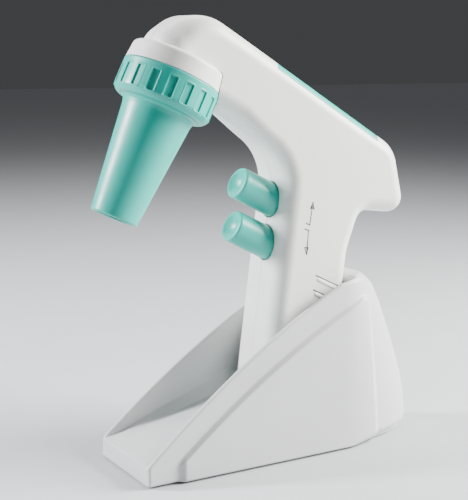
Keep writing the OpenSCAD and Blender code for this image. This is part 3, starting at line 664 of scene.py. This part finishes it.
BOARD = finish_of("board_green", (0.015, 0.12, 0.05), 0.35, coat=0.2, bump=0.08, grain=400)
# One dark grey for the printed arrows and for the painted groove shade strokes.
PRINT_AND_SHADE_INK = finish_of("print_and_painted_shade_grey", (0.06, 0.06, 0.065), 0.5)


# ---------------------------------------------------------------- the pieces
fit(housing("housing_left_skin", 1), "handset", "white_plastic", WHITE, "housing_left")
fit(housing("housing_right_skin", -1), "handset", "white_plastic", WHITE, "housing_right")
fit(cover("battery_cover_skin"), "cover", "teal_plastic", TEAL, "battery_cover")

collar = [(14.45, 8.4, 0.2), (14.45, -6, 0.2), (18.0, -6, 0.3), (18.0, 0.1, 0.15),
          (20.85, 0.1, 0.35), (20.0, 8.3, 2.1)]
fit(spun("nose_collar_skin", collar, NOSE_FRAME, 160), "handset", "white_plastic", WHITE, "nose_collar")
fit(ring_mesh("ring_nut_skin"), "ring", "teal_plastic", TEAL, "ring_nut")
cone = [(7.9, -63.3, 0.4), (10.1, -63.3, 0.8), (14.95, -17.4, 4), (15.6, -15.2, 1.5),
        (17.3, -14.48, 0.02), (15.3, -14.45, 0.1), (15.3, -12.3, 0.1),
        (17.6, -12.3, 0.2), (17.6, -7.8, 0.2), (13.5, -7.8, 0.2), (13.5, -13.4, 1),
        (8.4, -60.5, 0.3)]
fit(spun("nose_cone_skin", cone, NOSE_FRAME, 128), "nosepiece", "teal_plastic", TEAL, "nose_cone")
fit(finger_piece("aspirate_trigger_skin", DISH_UP), "aspirate", "teal_plastic", TEAL, "aspirate_trigger")
fit(finger_piece("dispense_trigger_skin", DISH_LOW), "dispense", "teal_plastic", TEAL, "dispense_trigger")
fit(stand_mesh("stand_shell_skin"), "stand", "white_plastic", STAND_WHITE, "stand_shell")
fit(arrow_marks("direction_marks"), "handset", "dark_plastic", PRINT_AND_SHADE_INK)
fit(grip_ribs("grip_ribs"), "handset", "white_plastic", WHITE)
# Painted shade: dark strokes along the grip grooves in place of the grooves' shadow.
fit(painted_groove_shade("painted_groove_shade"), "handset", "dark_plastic", PRINT_AND_SHADE_INK)

KEPT = {
    "stand_base": ("white_plastic", STAND_WHITE), "stand_socket": ("soft_grey", GREY),
    "stand_feet": ("rubber_black", BLACK), "stand_screws": ("steel", STEEL),
    "cover_pin": ("steel", STEEL), "housing_screws": ("steel", STEEL),
    "cone_seal": ("rubber_black", BLACK), "pipette_adapter": ("silicone_grey", SILICONE),
    "membrane_filter": ("filter_plastic", FILTER), "nose_port": ("dark_plastic", DARK),
    "aspirate_plunger": ("steel", STEEL), "dispense_plunger": ("steel", STEEL),
    "aspirate_spring": ("steel", STEEL), "dispense_spring": ("steel", STEEL),
    "valve_block": ("valve_plastic", VALVE), "trigger_switches": ("dark_plastic", DARK),
    "pump_motor": ("motor_can", CAN), "motor_rotor": ("rotor_brass", BRASS),
    "pump_head": ("dark_plastic", DARK), "pump_rod": ("valve_plastic", VALVE),
    "pump_diaphragm": ("rubber_black", BLACK), "motor_cradle": ("rubber_black", BLACK),
    "nose_hose": ("silicone_hose", HOSE), "pump_hoses": ("silicone_hose", HOSE),
    "battery_cell": ("battery_wrap", WRAP), "battery_tray": ("dark_plastic", DARK),
    "circuit_board": ("board_green", BOARD), "charge_jack": ("dark_plastic", DARK)}
for name, (slot, material) in KEPT.items():
    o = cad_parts[name]
    o.data.materials.clear()
    o.data.materials.append(material)

# ---------------------------------------------------------------- camera, floor and light
AZ, EL, ROLL = math.radians(58.94), math.radians(10.13), math.radians(0.416)
back = Vector((math.sin(AZ) * math.cos(EL), -math.cos(AZ) * math.cos(EL), math.sin(EL)))
right = Vector((math.cos(AZ), math.sin(AZ), 0))
up = back.cross(right)
centre = Vector((0, -0.015, 0.08))
cam = bpy.data.objects.new("camera", bpy.data.cameras.new("camera"))
bpy.context.scene.collection.objects.link(cam)
cx = right * math.cos(ROLL) + up * math.sin(ROLL)
cy = up * math.cos(ROLL) - right * math.sin(ROLL)
place = centre + back * 0.5074 - right * 0.00498 + up * 0.01148
cam.matrix_world = Matrix(((cx[0], cy[0], back[0], place[0]), (cx[1], cy[1], back[1], place[1]),
                           (cx[2], cy[2], back[2], place[2]), (0, 0, 0, 1)))
cam.data.lens = 1147.67 * 36 / 500
cam.data.sensor_width = 36
cam.data.clip_start, cam.data.clip_end = 0.01, 20
bpy.context.scene.camera = cam

floor_mesh = bpy.data.meshes.new("floor")
floor_mesh.from_pydata([(-4, -4, 0), (4, -4, 0), (4, 4, 0), (-4, 4, 0)], [], [(0, 1, 2, 3)])
floor = bpy.data.objects.new("floor", floor_mesh)
bpy.context.scene.collection.objects.link(floor)
floor.data.materials.append(finish_of("floor_sheet", (0.50, 0.51, 0.53), 0.6, bump=0.01, mottle=0.02))

world = bpy.data.worlds.new("studio")
bpy.context.scene.world = world
world.use_nodes = True
sky = world.node_tree.nodes["Background"]
sky.inputs["Color"].default_value = (0.82, 0.84, 0.88, 1)
seen = world.node_tree.nodes.new("ShaderNodeLightPath")
level = world.node_tree.nodes.new("ShaderNodeMapRange")
level.inputs["To Min"].default_value = 0.14
level.inputs["To Max"].default_value = 0.069
world.node_tree.links.new(seen.outputs["Is Camera Ray"], level.inputs["Value"])
world.node_tree.links.new(level.outputs["Result"], sky.inputs["Strength"])


def lamp(name, place, size, power, colour=(1, 1, 1), aim=(0, 0, 0.1)):
    data = bpy.data.lights.new(name, "AREA")
    data.shape = "RECTANGLE"
    data.size, data.size_y = size
    data.energy = power
    data.color = colour
    o = bpy.data.objects.new(name, data)
    bpy.context.scene.collection.objects.link(o)
    o.location = place
    o.rotation_mode = "QUATERNION"
    o.rotation_quaternion = (Vector(aim) - Vector(place)).to_track_quat("-Z", "Y")


def around(r, b, u):
    return centre + right * r + back * b + Vector((0, 0, 1)) * u


lamp("right", around(0.6, -0.06, 0.34), (0.36, 0.4), 24.0, (1, 0.99, 0.97), (0, 0.02, 0.14))
lamp("left", around(-0.68, 0.0, 0.32), (0.1, 0.25), 15.0, (0.97, 0.98, 1), (0, -0.05, 0.12))
lamp("top", around(-0.1, -0.5, 0.8), (0.6, 0.4), 4.0, (1, 1, 1), (0, 0, 0.15))
